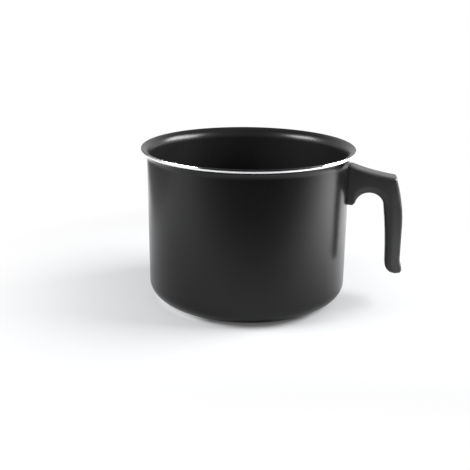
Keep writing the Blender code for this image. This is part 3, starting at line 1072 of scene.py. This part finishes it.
paper = bpy.data.materials.new("paper")
paper.use_nodes = True
tree = paper.node_tree
tree.nodes.remove(tree.nodes["Principled BSDF"])
place = new_node(tree, "TexCoord", {}).outputs["Object"]
away = new_node(tree, "VectorMath", {0: place}, operation="LENGTH").outputs["Value"]
behind = distance_along(tree, place, backwards)
aside = distance_along(tree, place, rightwards)
left_of_behind = distance_along(tree, place, turned_left(backwards, 14))
back_left = distance_along(tree, place, turned_left(backwards, 35))
path = new_node(tree, "LightPath", {})
camera_ray = path.outputs["Is Camera Ray"]
glossy_ray = path.outputs["Is Glossy Ray"]
print("the paper's nodes so far:", len(tree.nodes))

# %% The paper as lamps light it, with painted reflection and painted shade
GREY = (0.455, 0.46, 0.47, 1)
REFLECTED_WHITE = (0.95, 0.95, 0.95, 1)
PAINTED_DIM = (0.12, 0.12, 0.12, 1)

# Painted reflection: in the coat only, the paper on the right is white. Elsewhere, and for the
# eye, it is grey.
right_reflection_share = ramp(tree, aside, 0.05, 0.28, 0, 1)
colour = blend(tree, together(tree, "MULTIPLY", right_reflection_share, glossy_ray), GREY, REFLECTED_WHITE, "RGBA")
# Painted shade: the paper is dim far in front of the pot, and almost as dim far behind it on the
# left, so the coat mirrors less there.
not_in_front = ramp(tree, left_of_behind, -0.36, -0.10, 0, 1)
not_back_left = ramp(tree, back_left, 0.17, 0.31, 1, 0.25)
outside_painted_shade = together(tree, "MULTIPLY", not_in_front, not_back_left)
matt = new_node(tree, "BsdfDiffuse", {"Color": blend(tree, outside_painted_shade, PAINTED_DIM, colour, "RGBA")})

# %% The paper's own white, painted light over the shadows, and painted reflection
# Painted light: right under the pot's corner, at its left and right, the camera sees the paper
# lighter than its shadow there.
beside = together(tree, "MAXIMUM", ramp(tree, aside, -0.044, -0.018, 1, 0),
                  ramp(tree, aside, 0.030, 0.048, 0, 0.45))
painted_light_under_corner = together(tree, "MULTIPLY", ramp(tree, away, 0.060, 0.074, 0.5, 0), beside)
# Painted light: so is the paper on the handle's side, over the shadow of the pot and its handle.
painted_light_by_handle = ramp(tree, aside, 0.03, 0.08, 0, 0.32)
# Further out, and sooner in front, it fades to white.
further_out = ramp(tree, away, 0.10, 0.26, 0.08, 1)
in_front = ramp(tree, behind, -0.19, -0.085, 1, 0)
seen_white_and_painted_light = together(tree, "MULTIPLY", camera_ray, together(
    tree, "MAXIMUM", further_out, painted_light_under_corner, painted_light_by_handle, in_front))
# Painted reflection: only in the coat does the paper behind the pot glow white, but not at the
# far left.
painted_reflection = together(tree, "MULTIPLY", glossy_ray, ramp(tree, behind, 0.02, 0.28, 0, 1),
                    ramp(tree, aside, -0.27, -0.20, 0, 1))
# A power of 1 keeps the brightness and a power of 0 makes it 1, so only the painted reflection in
# the coat is brighter, up to 1.7 further back.
painted_reflection_strength = together(tree, "POWER", ramp(tree, behind, 0.06, 0.24, 1, 1.7), glossy_ray)
white_and_painted_reflection = new_node(tree, "Emission", {"Color": (1, 1, 1, 1), "Strength": painted_reflection_strength})
both = new_node(tree, "MixShader", {"Fac": together(tree, "ADD", seen_white_and_painted_light, painted_reflection),
                                    1: matt.outputs[0], 2: white_and_painted_reflection.outputs[0]})
fill(tree, tree.nodes["Material Output"], {"Surface": both.outputs[0]})
floor.data.materials.append(paper)
print("the paper's nodes:", len(tree.nodes))

# %% World
DIFFUSE_LEVEL = 0.38

world = bpy.data.worlds.new("world")
bpy.context.scene.world = world
world.use_nodes = True
tree = world.node_tree
direction = new_node(tree, "TexCoord", {}).outputs["Generated"]
height = new_node(tree, "SeparateXYZ", {0: direction}).outputs["Z"]
path = new_node(tree, "LightPath", {})
# Painted reflection: only the coat sees a room that is bright behind the pot, dimmer behind the
# camera, and dark overhead. Other light from the room is even, and the camera sees it white.
room = ramp(tree, distance_along(tree, direction, backwards), -1.0, 0.2, 0.28, 1.0, "LINEAR")
reflected_ceiling_share = ramp(tree, height, 0.45, 0.80, 1.0, 0.15)
level = blend(tree, path.outputs["Is Glossy Ray"], DIFFUSE_LEVEL,
              together(tree, "MULTIPLY", room, reflected_ceiling_share))
level = blend(tree, path.outputs["Is Camera Ray"], level, 1.0)
fill(tree, tree.nodes["Background"], {"Color": (1, 1, 1, 1), "Strength": level})
print("the room's nodes:", len(tree.nodes))


# %% Softboxes
def softbox(name, azimuth, elevation, distance, size, power):
    """A rectangular light that faces the pot, azimuth counted from the camera's right."""
    around = math.radians(azimuth) + HANDLE_TURN
    up = math.radians(elevation)
    outwards = Vector((math.cos(around) * math.cos(up), math.sin(around) * math.cos(up),
                       math.sin(up)))
    bpy.ops.object.light_add(type="AREA", location=outwards * distance)
    lamp = bpy.context.object
    lamp.name = name
    lamp.data.shape = "RECTANGLE"
    lamp.data.size, lamp.data.size_y = size
    lamp.data.energy = power
    lamp.rotation_euler = outwards.to_track_quat("Z", "Y").to_euler()
    lamp.visible_camera = False
    print(name, "at", in_mm(lamp.location), "with", power, "W")


softbox("right_softbox", azimuth=7, elevation=35, distance=0.62, size=(0.46, 0.24), power=9.0)
softbox("left_softbox", azimuth=194, elevation=36, distance=0.62, size=(0.34, 0.21), power=5.7)

# %% Colours as they are written
bpy.context.scene.view_settings.view_transform = "Standard"
print("view transform:", bpy.context.scene.view_settings.view_transform)

# %% [markdown]
# ## The pieces take their solids' places
#
# The pot, its handle and its fixing are screwed fast to each other. Each could be parented to
# its solid, but none of them moves against another, so all of them ride on one body. Each
# piece hides the solid of the imported model that it stands for. The pieces stay in the
# imported model's box to about a millimetre.

# %% Which piece stands for which solid
for piece, node, slot in (
        (pot, "pot_body", "black_coated_aluminium"), (hook, "hook_handle", "black_phenolic"),
        (stud, "handle_stud", "bare_aluminium"), (screw, "handle_screw", "zinc_plated_steel"),
        (washer, "lock_washer", "spring_steel")):
    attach(piece, "root")
    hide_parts(node)
    print(piece.name, "stands for", node)
